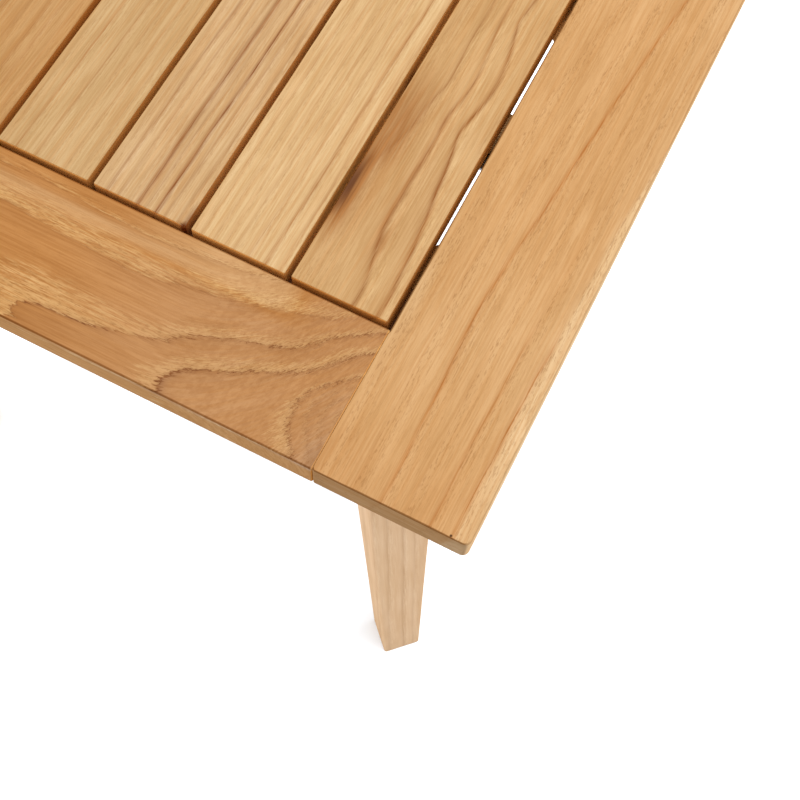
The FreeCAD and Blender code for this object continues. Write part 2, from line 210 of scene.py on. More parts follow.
def carried_skin(outline, stations, insets):
    """An outline in (y, z) carried along X, drawn in along its normals by each inset, and closed."""
    ahead = np.roll(outline, -1, 0) - np.roll(outline, 1, 0)
    ahead /= np.linalg.norm(ahead, axis=1)[:, None]
    normal = np.stack([ahead[:, 1], -ahead[:, 0]], -1)
    sections = outline[None] - insets[:, None, None] * normal[None]
    across = np.broadcast_to(stations[:, None, None], sections.shape[:2] + (1,))
    points = np.concatenate([across, sections], -1).reshape(-1, 3)
    number = np.arange(len(points)).reshape(sections.shape[:2])
    net = np.concatenate([number, number[:, :1]], 1)
    faces = quads(net.T).tolist()
    return points, faces + [number[0][::-1].tolist(), number[-1].tolist()]


def new_mesh(name, points, faces):
    """A mesh of these points and faces."""
    mesh = bpy.data.meshes.new(name)
    mesh.from_pydata(np.asarray(points).tolist(), [], faces)
    return mesh


def new_object(name, data):
    """An object that shows this mesh, light or camera in the scene."""
    new = bpy.data.objects.new(name, data)
    bpy.context.scene.collection.objects.link(new)
    return new


def new_piece(name, points, faces):
    """A smooth-shaded mesh object of these points and faces, riding on the table."""
    piece = new_object(name, new_mesh(name, points, faces))
    piece.data.shade_smooth()
    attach(piece, BODY)
    return piece


def stand_for(piece, node, material):
    """The piece stands in for a node, which is hidden, and gets a material."""
    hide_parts(node)
    piece.data.materials.append(material)


def mesh_values(mesh, name):
    """A mesh's points or normals as an array of three columns."""
    values = np.zeros(len(mesh.vertices) * 3, np.float32)
    mesh.vertices.foreach_get(name, values)
    return values.reshape(-1, 3).astype(float)


def write_attribute(mesh, name, columns):
    """Three columns of values, one row for each point, as a vector attribute."""
    layer = mesh.attributes.new(name, "FLOAT_VECTOR", "POINT")
    layer.data.foreach_set("vector", np.stack(columns, -1).astype(np.float32).ravel())


# How far apart, in mm, two places are taken to measure how fast the ring number changes
ALONG_REACH = 4.0
ACROSS_REACH = 1.0

# The fewest rings per mm, how far depth shifts the fibre sideways, and how far apart boards' fibres lie
FEWEST_RINGS = 0.004
DEPTH_SHARE = 0.9
SEED_SHIFT = 311.0

# Spans of a normal's parts: where painted shade on rounded edges starts and ends between side and flat,
# where painted light lifts that shade on edges that face +X, where it fades towards an end, and where a cut
# end starts
RIM_SHADE_START = (0.2, 0.5)
RIM_SHADE_END = (0.995, 0.92)
LIT_SIDE = (0.1, 0.5)
LIT_SIDE_LOSS = 0.8
END_FADE = (0.35, 0.1)
CUT_SPAN = (0.6, 0.95)


def lay_grain(piece, place, fibre, figure, seed, run=None, dark_ends=True, rim_shade_share=1.0):
    """Writes where each point lies in the wood, in mm: along the fibre, across it, and its growth ring.

    figure turns (along, across, depth) into the ring number, the strength of the ring's line, a tint, and
    where in the ring the early wood ends. The tint is sapwood below 0, stain up to 1, torn fibres up to 2,
    which on the front rail's ledge is painted shade.
    run turns (along, across) into places along and across a fibre that isn't straight, and how wild it is.
    The ring number's change over a short way gives the rings per mm. On a cut end, along and across become
    across and depth. Rounded edges get painted shade, by a given share, and less where they face +X, which
    stands for painted light from that side. Without dark_ends, only the edges along the fibre get painted
    shade, and the ends' rounds count as cut ends.
    """
    along, across, depth = place
    growth, strength, tint, early = figure(along, across, depth)
    slope = np.abs(figure(along + ALONG_REACH, across, depth)[0] - growth) / ALONG_REACH
    spread = np.abs(figure(along, across + ACROSS_REACH, depth)[0] - growth) / ACROSS_REACH
    density = np.maximum(np.hypot(slope, spread), FEWEST_RINGS)
    normal = mesh_values(piece.data, "normal")
    facing = np.abs(normal @ np.array(fibre))
    level = np.abs(normal[:, 2])
    # Painted shade on rounded edges, with less of it where they face +X, as painted light from that side
    rim_shade = smooth(*RIM_SHADE_START, level) * smooth(*RIM_SHADE_END, level)
    rim_shade = rim_shade * rim_shade_share * (1 - LIT_SIDE_LOSS * smooth(*LIT_SIDE, normal[:, 0]))
    if not dark_ends:
        rim_shade = rim_shade * smooth(*END_FADE, facing)
        facing = np.minimum(2 * facing, 1)
    run_along = along
    run_across = across
    wild = np.zeros_like(along)
    if run is not None:
        run_along, run_across, wild = run(along, across)
    cut_end = smooth(*CUT_SPAN, facing)
    run_along = run_along + cut_end * (across - run_along)
    run_across = (1 - cut_end) * (run_across + DEPTH_SHARE * depth) + cut_end * depth
    write_attribute(piece.data, "grain", (run_along + seed * SEED_SHIFT, run_across, growth))
    write_attribute(piece.data, "figure", (slope, density, strength))
    # marks holds the tint, where the early wood ends, and the painted shade on rounded edges
    write_attribute(piece.data, "marks", (tint, early, rim_shade))
    write_attribute(piece.data, "cut", (facing, wild, level))


EARLY_SHARE = 0.7
GRAIN_WAVE = (160, 70)
GRAIN_SWAY = 0.25


def slant(share):
    """A drift that grows steadily along a board."""
    return lambda along, _: share * along


def straight_figure(rings, drift, lean, seed, tinted=None, kept=None):
    """Straight grain: rings, (place across, strength) pairs, shifted by drift(along, across).

    Ring number = interpolated over the ring places at across - drift + lean * depth + a slow wave.
    tinted(along, across, inside) is the tint, inside being that place, and kept(along, inside) is the share
    of its strength that a line keeps.
    """
    places, strengths = np.array(rings).T
    numbers = np.arange(len(places)) + 0.0

    def figure(along, across, depth):
        sway = GRAIN_SWAY * waves(seed, along, across, *GRAIN_WAVE)
        inside = across - drift(along, across) + lean * depth + sway
        tint = np.zeros_like(along) if tinted is None else tinted(along, across, inside)
        early = np.full_like(along, EARLY_SHARE)
        strength = np.interp(inside, places, strengths)
        if kept is not None:
            strength = strength * kept(along, inside)
        return np.interp(inside, places, numbers), strength, tint, early

    return figure


FIELD_UNIT = 100.0
FIELD_GIVE = 0.002


def ring_field(rings):
    """A smooth ring number over a board's face, from places that lie on known rings.

    A thin plate: n(p) = a + b p + sum w r^2 log r, r being the way from p to each place in units of 100 mm.
    The weights w let it pass close to every place.
    """
    places = np.array([place for line in rings.values() for place in line]) / FIELD_UNIT
    numbers = np.array([number for number, line in rings.items() for _ in line])

    def lift(square):
        return square * np.log(np.maximum(square, TINY)) / 2

    count = len(places)
    square = ((places[:, None] - places[None]) ** 2).sum(-1)
    plane = np.column_stack([np.ones(count), places])
    upper = np.column_stack([lift(square) + FIELD_GIVE * np.eye(count), plane])
    lower = np.column_stack([plane.T, np.zeros((3, 3))])
    weights = np.linalg.solve(np.vstack([upper, lower]), np.append(numbers, np.zeros(3)))

    def field(along, across):
        here = np.column_stack([along, across]) / FIELD_UNIT
        square = ((here[:, None] - places[None]) ** 2).sum(-1)
        return lift(square) @ weights[:count] + weights[count] + here @ weights[count + 1:]

    return field


# How bright the light is that falls on the table's top
TOP_LIGHT = 2.66


def linear(red, green, blue):
    """Screen values from 0 to 255 turned into linear ones by the sRGB curve."""
    parts = np.array([red, green, blue]) / 255
    return np.where(parts > 0.04045, ((parts + 0.055) / 1.055) ** 2.4, parts / 12.92)


def colour(red, green, blue):
    """A surface of this screen colour under a light of 1."""
    return (*linear(red, green, blue).tolist(), 1.0)


def on_top(red, green, blue):
    """The surface that looks like this screen colour where it lies in the table's top."""
    return (*(linear(red, green, blue) / TOP_LIGHT).tolist(), 1.0)


WHITE = (1.0, 1.0, 1.0, 1.0)

# Places of the colours among a Mix node's sockets
FIRST_COLOUR = 6
SECOND_COLOUR = 7
MIXED_COLOUR = 2

# Most of a noise's values lie in the first span, and nearly all in the second
NOISE_MIDDLE = 0.5
NOISE_SPAN = (0.36, 0.64)
WIDE_SPAN = (0.3, 0.7)


class Wiring:
    """Adds nodes to one node tree and joins their sockets. A value in a socket's place is set there."""

    def __init__(self, tree):
        self.tree = tree

    def node(self, kind, **settings):
        new = self.tree.nodes.new(kind)
        for name, value in settings.items():
            setattr(new, name, value)
        return new

    def join(self, source, target):
        if isinstance(source, bpy.types.NodeSocket):
            self.tree.links.new(source, target)
        else:
            target.default_value = source

    def math(self, operation, *values, clamp=False):
        new = self.node("ShaderNodeMath", operation=operation, use_clamp=clamp)
        for value, socket in zip(values, new.inputs):
            self.join(value, socket)
        return new.outputs[0]

    def times(self, *values, clamp=False):
        return self.math("MULTIPLY", *values, clamp=clamp)

    def step(self, low, high, value, to_low=0.0, to_high=1.0):
        """A smooth step from to_low, where the value is low, to to_high, where it is high."""
        new = self.node("ShaderNodeMapRange", interpolation_type="SMOOTHSTEP")
        for source, socket in zip((value, low, high, to_low, to_high), new.inputs):
            self.join(source, socket)
        return new.outputs[0]

    def mix(self, share, first, second, blend="MIX"):
        new = self.node("ShaderNodeMix", data_type="RGBA", blend_type=blend)
        self.join(share, new.inputs["Factor"])
        self.join(first, new.inputs[FIRST_COLOUR])
        self.join(second, new.inputs[SECOND_COLOUR])
        return new.outputs[MIXED_COLOUR]

    def vector(self, x, y, z):
        new = self.node("ShaderNodeCombineXYZ")
        for source, socket in zip((x, y, z), new.inputs):
            self.join(source, socket)
        return new.outputs[0]

    def parts(self, vector):
        new = self.node("ShaderNodeSeparateXYZ")
        self.join(vector, new.inputs[0])
        return tuple(new.outputs)

    def distance(self, first, second):
        new = self.node("ShaderNodeVectorMath", operation="DISTANCE")
        self.join(first, new.inputs[0])
        self.join(second, new.inputs[1])
        return new.outputs["Value"]

    def noise(self, vector, scale=1.0, detail=2.0):
        new = self.node("ShaderNodeTexNoise", noise_dimensions="3D")
        self.join(vector, new.inputs["Vector"])
        self.join(scale, new.inputs["Scale"])
        self.join(detail, new.inputs["Detail"])
        return new.outputs["Fac"]

    def streaked(self, shade, reach, dark, light, source):
        """A colour times a dark or a light tint, as a noise goes from low to high, by a share of reach."""
        tint = self.mix(self.step(*NOISE_SPAN, source), dark, light)
        return self.mix(reach, shade, self.mix(1.0, shade, tint, "MULTIPLY"))


SURFACE_OUTPUTS = (("Color", "Color"), ("Roughness", "Float"), ("Height", "Float"))


def new_group(name, inputs):
    """An empty shader node group of a surface, with these sockets in: name, kind and default."""
    group = bpy.data.node_groups.new(name, "ShaderNodeTree")
    for label, kind, default in inputs:
        socket = group.interface.new_socket(label, in_out="INPUT", socket_type="NodeSocket" + kind)
        if default is not None:
            socket.default_value = default
    for label, kind in SURFACE_OUTPUTS:
        group.interface.new_socket(label, in_out="OUTPUT", socket_type="NodeSocket" + kind)
    wire = Wiring(group)
    return wire, wire.node("NodeGroupInput").outputs, wire.node("NodeGroupOutput").inputs


PALE = on_top(228, 182, 127)
BROWN = on_top(220, 170, 115)
LINE = on_top(178, 120, 70)
STAIN = on_top(150, 104, 78)
SAP = on_top(236, 196, 146)
PORE = on_top(150, 98, 54)
# Colour of torn fibres, also used as painted shade on the front rail's ledge
TORN_AND_SHADE = on_top(104, 46, 20)
KNOT_SHADE = on_top(70, 44, 28)
ORANGE = on_top(214, 152, 90)
# Painted shade on rounded edges
RIM_PAINTED_SHADE = (0.5, 0.4, 0.3, 1.0)
HAIR_DARK = (0.89, 0.84, 0.77, 1.0)
HAIR_LIGHT = (1.09, 1.13, 1.18, 1.0)
SPECK_DARK = (0.94, 0.91, 0.88, 1.0)
SPECK_LIGHT = (1.05, 1.07, 1.08, 1.0)
CLOUD_DARK = (0.97, 0.955, 0.93, 1.0)
CLOUD_LIGHT = (1.025, 1.035, 1.05, 1.0)
END_TINT = (1.0, 0.85, 0.65, 1.0)

# Noises in the wood: length along the fibre and width across it, in mm, and a seed
TOOTH = (7.0, 0.9, 1.5)
STREAK = (170.0, 5.0, 7.5)
HAIR = (24.0, 0.9, 13.5)
DASH = (22.0, 0.6, 17.5)
FLECK = (9.0, 0.7, 21.5)
BAND = (60.0, 1.8, 25.5)
MOTTLE = (60.0, 20.0, 29.5)
PIT = (3.4, 0.6, 33.5)
SPECK = (8.0, 2.5, 37.5)
FINE_DETAIL = 4.0

# Widths, in mm, of the teeth and wandering of the rings and of the lines between them
TOOTH_REACH = 10.0
TOOTH_WIDTH = 2.5
WANDER = 1.6
HAIRLINE_WIDTHS = (0.12, 0.6)
FEATHER_WIDTH = 3.2

# Spans in which each part of the figure comes in, and its share
FLECK_SPAN = (0.5, 0.86)
FLECK_GAIN = 0.34
FLECK_START = (0.0, 0.35)
RIPE_SPAN = (0.5, 1.0)
RIPE_POWER = 2.0
RIPE_SHARE = 0.25
STAIN_SHARES = (0.6, 1.0)
FEATHER_POWER = 1.5
FEATHER_SHARES = (0.4, 0.9)
FEATHER_LOSS = -0.6
HAIRLINE_SPAN = (0.36, 0.6)
HAIRLINE_SHARES = (0.25, 1.0)
END_LINE_LOSS = -0.8
EARLY_PORES = 0.8
LATE_PORES = 0.2
PIT_SPAN = (0.53, 0.64)
PIT_DEPTH = 0.5
PORE_SHARE = 0.4
WILD_LOSS = -0.7
ORANGE_SPAN = (0.44, 0.66)
ORANGE_SHARES = (0.0, 0.4)
# Where a face counts as a side, for the painted light and shade on sides
WALL_SHADING_SPAN = (0.1, 0.4)
ROUGHNESS = (0.52, 0.62)
PORE_ROUGHNESS = 0.2
END_ROUGHNESS = 0.2
KNOT_WIDTH = (0.4 * MM, 1.0 * MM)
KNOT_SHARE = 0.9
FAR_AWAY = (0.0, 0.0, -1.0)


def teak_group():
    """Teak: pale porous early wood and brown late wood in each growth ring, a broken line between rings.

    Phase = fract(ring number + teeth): 0 just outside a line, 1 just inside the next. Divided by the rings
    per mm it is the way to the line, so that lines keep their width where rings are wide.
    """
    inputs = (
        ("Grain", "Vector", None),
        ("Figure", "Vector", None),
        ("Marks", "Vector", (0.0, EARLY_SHARE, 0.0)),
        ("Cut", "Vector", (0.0, 0.0, 0.0)),
        ("Place", "Vector", None),
        ("Knot", "Vector", FAR_AWAY),
        ("Pale", "Color", PALE),
        ("Brown", "Color", BROWN),
        ("Line", "Color", LINE),
        ("Stain", "Color", STAIN),
        ("DeepTint", "Color", TORN_AND_SHADE),
        ("End", "Color", END_TINT),
        ("RimShade", "Color", RIM_PAINTED_SHADE),
        ("WallLightAndShade", "Color", WHITE),
        ("Contrast", "Float", 1.0),
        ("Lines", "Float", 1.0),
        ("Sharp", "Float", 0.3),
        ("Porous", "Float", 1.0),
        ("Teeth", "Float", 0.2),
        ("Fine", "Float", 1.0),
    )
    wire, given, result = new_group("teak_figure", inputs)
    along, across, growth = wire.parts(given["Grain"])
    slope, density, strength = wire.parts(given["Figure"])
    tint, early_end, rim_shade = wire.parts(given["Marks"])
    facing, wild, level = wire.parts(given["Cut"])

    def fibres(kind, detail=2.0):
        """Noise drawn out along the fibre."""
        length, width, seed = kind
        place = wire.vector(wire.math("DIVIDE", along, length), wire.math("DIVIDE", across, width), seed)
        return wire.noise(place, detail=detail)

    tooth = fibres(TOOTH)
    streak = fibres(STREAK)
    hair = fibres(HAIR, FINE_DETAIL)
    dash = fibres(DASH)
    band = fibres(BAND)
    end = wire.step(*CUT_SPAN, facing)

    # Where the point lies in its ring
    reach = wire.math("MULTIPLY_ADD", slope, TOOTH_REACH, wire.times(density, TOOTH_WIDTH))
    sway = wire.times(wire.math("SUBTRACT", tooth, NOISE_MIDDLE), wire.times(reach, given["Teeth"]))
    wander = wire.times(wire.math("SUBTRACT", streak, NOISE_MIDDLE), wire.times(density, WANDER))
    phase = wire.math("FRACT", wire.math("ADD", growth, wire.math("ADD", sway, wander)))
    nearest = wire.math("MINIMUM", phase, wire.math("SUBTRACT", 1.0, phase))
    to_line = wire.math("DIVIDE", nearest, density)
    early = wire.step(0.0, 1.0, wire.math("DIVIDE", phase, early_end), 1.0, 0.0)

    # Early and late wood
    bold = wire.times(strength, given["Contrast"])
    share = wire.times(early, bold, clamp=True)
    flecks = wire.step(*FLECK_SPAN, wire.math("MULTIPLY_ADD", share, FLECK_GAIN, fibres(FLECK)))
    flecks = wire.times(flecks, wire.step(*FLECK_START, share))
    shade = wire.mix(flecks, given["Brown"], given["Pale"])
    ripe = wire.math("POWER", wire.step(*RIPE_SPAN, phase), RIPE_POWER)
    shade = wire.mix(wire.times(wire.times(ripe, bold), RIPE_SHARE), shade, given["Line"])

    # Stain, sapwood, and the deepest tint: torn fibres, a dark stain, and painted shade on the front rail's
    # ledge
    uneven = wire.times(tint, wire.step(*WIDE_SPAN, band, *STAIN_SHARES), clamp=True)
    shade = wire.mix(uneven, shade, given["Stain"])
    shade = wire.mix(wire.times(tint, -1.0, clamp=True), shade, SAP)
    shade = wire.mix(wire.math("SUBTRACT", tint, 1.0, clamp=True), shade, given["DeepTint"])

    # Lines between rings, feathered into short dashes
    feather = wire.math("POWER", wire.step(0.0, FEATHER_WIDTH, to_line, 1.0, 0.0), FEATHER_POWER)
    feather = wire.times(feather, wire.step(*NOISE_SPAN, dash, *FEATHER_SHARES))
    feather = wire.times(feather, wire.math("MULTIPLY_ADD", given["Sharp"], FEATHER_LOSS, 1.0))
    hairline = wire.step(*HAIRLINE_WIDTHS, to_line, 1.0, 0.0)
    hairline = wire.times(hairline, wire.step(*HAIRLINE_SPAN, dash, *HAIRLINE_SHARES))
    mark = wire.math("MULTIPLY_ADD", hairline, given["Sharp"], feather)
    seen = wire.times(strength, given["Lines"])
    seen = wire.times(seen, wire.math("MULTIPLY_ADD", end, END_LINE_LOSS, 1.0))
    shade = wire.mix(wire.times(mark, seen, clamp=True), shade, given["Line"])

    # Pores, gleaming fibres and streaks
    open_grain = wire.times(wire.math("MULTIPLY_ADD", early, EARLY_PORES, LATE_PORES), given["Porous"])
    pits = wire.step(*PIT_SPAN, fibres(PIT))
    pores = wire.times(pits, open_grain)
    shade = wire.mix(wire.times(pores, PORE_SHARE), shade, PORE)
    fine = wire.times(given["Fine"], wire.math("MULTIPLY_ADD", wild, WILD_LOSS, 1.0))
    shade = wire.mix(wire.times(wire.step(*ORANGE_SPAN, band, *ORANGE_SHARES), fine), shade, ORANGE)
    shade = wire.streaked(shade, fine, HAIR_DARK, HAIR_LIGHT, hair)
    shade = wire.streaked(shade, wild, SPECK_DARK, SPECK_LIGHT, fibres(SPECK, FINE_DETAIL))
    shade = wire.streaked(shade, 1.0, CLOUD_DARK, CLOUD_LIGHT, streak)
    shade = wire.streaked(shade, 1.0, CLOUD_DARK, CLOUD_LIGHT, fibres(MOTTLE))

    # Cut ends with a tint of end grain that on some boards also paints light, painted light and shade on
    # the sides, painted shade on rounded edges, and the pin knot
    wall_shading = wire.math("SUBTRACT", wire.step(*WALL_SHADING_SPAN, level, 1.0, 0.0), end, clamp=True)
    for part, label in ((wall_shading, "WallLightAndShade"), (end, "End"), (rim_shade, "RimShade")):
        shade = wire.mix(part, shade, wire.mix(1.0, shade, given[label], "MULTIPLY"))
    to_knot = wire.distance(given["Place"], given["Knot"])
    shade = wire.mix(wire.step(*KNOT_WIDTH, to_knot, KNOT_SHARE, 0.0), shade, KNOT_SHADE)
    wire.join(shade, result["Color"])

    rough = wire.math("MULTIPLY_ADD", pores, PORE_ROUGHNESS, wire.step(*WIDE_SPAN, hair, *ROUGHNESS))
    wire.join(wire.math("MULTIPLY_ADD", end, END_ROUGHNESS, rough), result["Roughness"])
    dips = wire.times(wire.times(pits, given["Porous"]), PIT_DEPTH)
    wire.join(wire.math("SUBTRACT", hair, dips), result["Height"])
    return wire.tree


TEAK = teak_group()


def shader_material(name):
    """A new material with its Principled shader: the wiring, the shader node and the material."""
    material = bpy.data.materials.new(name)
    material.use_nodes = True
    wire = Wiring(material.node_tree)
    return wire, material.node_tree.nodes["Principled BSDF"], material


def place_group(wire, shader, group, values, relief, depth):
    """Places a group in a material with its own values, and joins its colour, roughness and height."""
    surface = wire.node("ShaderNodeGroup", node_tree=group)
    for label, value in values.items():
        wire.join(value, surface.inputs[label])
    raised = wire.node("ShaderNodeBump")
    wire.join(relief, raised.inputs["Strength"])
    wire.join(depth, raised.inputs["Distance"])
    wire.join(surface.outputs["Height"], raised.inputs["Height"])
    wire.join(surface.outputs["Color"], shader.inputs["Base Color"])
    wire.join(surface.outputs["Roughness"], shader.inputs["Roughness"])
    wire.join(raised.outputs["Normal"], shader.inputs["Normal"])


WOOD_RELIEF = 0.22
WOOD_DEPTH = 0.3 * MM
WOOD_SHINE = 0.0


def finish_teak(wire, shader, values):
    """Joins the teak group, with a material's own values, to a shader that has no gloss."""
    place_group(wire, shader, TEAK, values, WOOD_RELIEF, WOOD_DEPTH)
    shader.inputs["Specular IOR Level"].default_value = WOOD_SHINE


def board_teak(name, **look):
    """Teak for a board that carries its own grain attributes."""
    wire, shader, material = shader_material(name)
    values = {"Place": wire.node("ShaderNodeTexCoord").outputs["Object"], **look}
    for label in ("Grain", "Figure", "Marks", "Cut"):
        values[label] = wire.node("ShaderNodeAttribute", attribute_name=label.lower()).outputs["Vector"]
    finish_teak(wire, shader, values)
    return material


# Teak of the underframe: its rings' width in mm, lean, slope and strengths, and their bows' length and
# width in mm and height in rings
RING_WIDTH = 5.5
RING_LEAN = 0.6
RING_SLOPE = 0.003
RING_STRENGTHS = (0.1, 0.5)
BOW_LENGTH = 140.0
BOW_WIDTH = 30.0
BOW_RINGS = 3.0
PLAIN_CONTRAST = 0.6


def plain_teak(name, turn, seed, **look):
    """Teak for an underframe piece: grain along its own length, from Object coordinates turned about Z."""
    wire, shader, material = shader_material(name)
    mapping = wire.node("ShaderNodeMapping")
    wire.join(wire.node("ShaderNodeTexCoord").outputs["Object"], mapping.inputs["Vector"])
    mapping.inputs["Rotation"].default_value = (0.0, 0.0, turn)
    mapping.inputs["Scale"].default_value = (1 / MM, 1 / MM, 1 / MM)
    along, across, height = wire.parts(mapping.outputs["Vector"])
    flat = wire.math("MULTIPLY_ADD", height, RING_LEAN, across)
    bow_along = wire.math("DIVIDE", along, BOW_LENGTH)
    bow_across = wire.math("DIVIDE", across, BOW_WIDTH)
    bow = wire.noise(wire.vector(bow_along, bow_across, seed))
    growth = wire.math("MULTIPLY_ADD", bow, BOW_RINGS, wire.math("DIVIDE", flat, RING_WIDTH))
    strength = wire.step(*WIDE_SPAN, bow, *RING_STRENGTHS)
    values = {
        "Grain": wire.vector(along, wire.math("ADD", across, height), growth),
        "Figure": wire.vector(RING_SLOPE, 1 / RING_WIDTH, strength),
        "Contrast": PLAIN_CONTRAST,
    }
    finish_teak(wire, shader, {**values, **look})
    return material


# Steel: how close its scratches and clouds lie, and how they dull and roughen it
SCRATCH_SCALES = (120.0, 2400.0, 2400.0)
SCRATCH_DETAIL = 3.0
SCRATCH_SHARE = 0.35
SCRATCH_DEPTH = 0.1 * MM
CLOUD_SCALE = 160.0
CLOUD_DETAIL = 3.0
CLOUD_SPAN = (0.35, 0.65)
CLOUD_SHARES = (0.0, 0.65)
STEEL_ROUGHNESS = 0.24
DULL_ROUGHNESS = 0.3


def steel_group():
    """Drawn steel: fine scratches along X and cloudy dulling."""
    inputs = (("Place", "Vector", None), ("Bright", "Color", None), ("Dull", "Color", None))
    wire, given, result = new_group("drawn_steel", inputs)
    drawn = [wire.times(part, scale) for part, scale in zip(wire.parts(given["Place"]), SCRATCH_SCALES)]
    scratch = wire.noise(wire.vector(*drawn), detail=SCRATCH_DETAIL)
    cloud = wire.noise(given["Place"], CLOUD_SCALE, CLOUD_DETAIL)
    dulled = wire.step(*CLOUD_SPAN, cloud, *CLOUD_SHARES)
    share = wire.math("MULTIPLY_ADD", scratch, SCRATCH_SHARE, dulled)
    wire.join(wire.mix(share, given["Bright"], given["Dull"]), result["Color"])
    wire.join(wire.math("MULTIPLY_ADD", share, DULL_ROUGHNESS, STEEL_ROUGHNESS), result["Roughness"])
    wire.join(scratch, result["Height"])
    return wire.tree


STEEL = steel_group()


def steel(name, bright, dull, relief):
    """Steel with its own two shades and strength of relief."""
    wire, shader, material = shader_material(name)
    place = wire.node("ShaderNodeTexCoord").outputs["Object"]
    values = {"Place": place, "Bright": bright, "Dull": dull}
    place_group(wire, shader, STEEL, values, relief, SCRATCH_DEPTH)
    shader.inputs["Metallic"].default_value = 1.0
    return material


def dress(node, material):
    """Puts a material in every slot of a CAD node."""
    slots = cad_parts[node].data.materials
    slots.clear()
    slots.append(material)


def in_mm(mesh):
    """A mesh's points in millimetres, as three columns."""
    return mesh_values(mesh, "co").T / MM


# Frame boards
def right_stile_drift(along, across):
    """Lines swing outwards to the rear, by 32 (1 + tanh((along - 170) / 180)), and the inner ones bow."""
    swing = 32 * (1 + np.tanh((along - 170) / 180)) - 2.6
    near_inner_edge = smooth(222, 205, across)
    return swing + 4 * (1 - bump(along, -120, 75)) * near_inner_edge


def right_stile_tint(along, across, inside):
    """Sapwood outside the last strong line, a little of it at both edges, and a warmer front."""
    outer = smooth(241, 243, inside)
    outer_edge = smooth(228, 240, across) * smooth(-200, -160, along)
    middle = bump(along, -150, 45)
    inner_edge = bump(along, -132, 26) * smooth(168, 162, across)
    front = smooth(-200, -240, along)
    front_end = smooth(-215, -240, along)
    front_inner = smooth(195, 170, across)
    sap = (0.85 - 0.15 * front_end) * outer + 0.25 * outer_edge + 0.2 * middle + 0.5 * inner_edge
    return (0.12 + 0.1 * front_inner) * front - sap


def right_stile_kept(along, inside):
    """The outer lines fade to the rear."""
    return 1 - 0.8 * smooth(-150, -105, along) * smooth(205, 215, inside)


def left_stile_drift(along, _):
    """A long shallow curve: 7 sin(along / 170) and a faint slant."""
    return 7 * np.sin(along / 170) + 0.02 * along


STILE_LEAN = 0.35
# The stiles' sides get painted light, their rounded edges the default painted shade, and their cut ends a
# darker tint of end grain
STILE_TEAK = {
    "Line": on_top(190, 121, 62),
    "Stain": on_top(190, 121, 62),
    "End": (0.81, 0.85, 0.95, 1.0),
    "WallLightAndShade": (1.5, 1.6, 1.8, 1.0),
    "Contrast": 0.3,
    "Porous": 0.9,
    "Sharp": 0.4,
    "Fine": 0.55,
}

# The stiles: growth rings as places across and strengths, what shifts, tints and fades them, the corners'
# radii and the place of a pin knot
STILES = {
    "right_stile": {
        "rings": ((100, 0.1), (122, 0.1), (140, 0.1), (162, 0.08), (181, 0.1), (197.5, 0.95), (213, 0.06),
                  (229, 0.6), (242, 1.0), (262, 0.1)),
        "drift": right_stile_drift,
        "tint": right_stile_tint,
        "kept": right_stile_kept,
        "corners": (INNER_CORNER, CORNER_ROUND),
        "knot": (0.2390, -0.2486, 0.45),
    },
    "left_stile": {
        "rings": ((-275, 0.1), (-243, 0.4), (-226, 0.1), (-210, 0.8), (-199, 0.2), (-180, 0.4), (-166, 0.1),
                  (-140, 0.1)),
        "drift": left_stile_drift,
        "tint": None,
        "kept": None,
        "corners": (CORNER_ROUND, INNER_CORNER),
        "knot": FAR_AWAY,
    },
}


def beside_rails(points):
    """The share of its ease and of the painted shade on its rounded edge that a stile's edge keeps: little
    where a rail meets it.
    """
    x, y, _ = np.abs(points.T) / MM
    inner_wall = smooth(180, 175, x)
    rail_end = smooth(160.5, 162.5, y) * smooth(249, 247, y)
    return 1 - 0.85 * inner_wall * rail_end


def build_stiles():
    """The two long boards at the sides, whose outer corners are the table's corners."""
    for seed, (node, look) in enumerate(STILES.items(), 1):
        low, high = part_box(node)
        points, faces = eased_block(low, high, FRAME_EASE, look["corners"], FRAME_STEP, seed, beside_rails)
        piece = new_piece(node + "_board", points, faces)
        x, y, z = in_mm(piece.data)
        figure = straight_figure(look["rings"], look["drift"], STILE_LEAN, seed, look["tint"], look["kept"])
        lay_grain(piece, (y, x, TOP - z), (0, 1, 0), figure, seed, rim_shade_share=beside_rails(points))
        stand_for(piece, node, board_teak(node + "_teak", Knot=look["knot"], **STILE_TEAK))


RING_DEPTH = 7.0
KNOT = (168, -222)

# Places, in mm, on the growth rings round the knot at the right end of the front rail
FRONT_RAIL_RINGS = {
    0: (KNOT,),
    1: ((158, -193.5), (148, -202), (140, -210), (136.5, -220), (137, -230), (141, -240), (148, -247)),
    2: ((68, -249), (64.5, -241), (75, -230.5), (100, -219), (115, -211), (130, -203), (140, -194),
        (155, -178)),
    3: ((-24, -249), (-28, -242), (-20, -235.5), (18, -231.6), (42, -226), (55, -221.5), (80, -207.5),
        (108, -198), (123, -190.5), (133, -179), (158, -163)),
    3.5: ((-80, -232), (-160, -228)),
    4: ((-160, -187), (-110, -188), (-66, -188.7), (-5, -192.6), (50, -188), (85, -181.5), (110, -174),
        (130, -168)),
    5: ((-160, -167), (-80, -168), (-26, -169), (30, -170.5), (75, -165.5), (90, -162)),
}
front_rail_field = ring_field(FRONT_RAIL_RINGS)

# How much closer the rings lie inside the eye, where the early wood ends in each ring, counted from the
# knot, and how strong the lines are at these ring numbers
EYE_RINGS = 4.0
EARLY_ENDS = np.array([0.5, 0.3, 0.6, 0.5, 0.95, 0.3, 0.5])
RAIL_NUMBERS = (-4, 0, 0.9, 1, 2, 3, 3.1, 4, 5, 6)
RAIL_STRENGTHS = (0.4, 0.4, 0.35, 1.1, 1.0, 0.95, 0.75, 0.9, 0.3, 0.3)


def plain_below(depth):
    """The share of its strength that a rail's ring keeps: all of it on the top, little on planed edges."""
    return 1 - 0.8 * smooth(1, 5, depth)


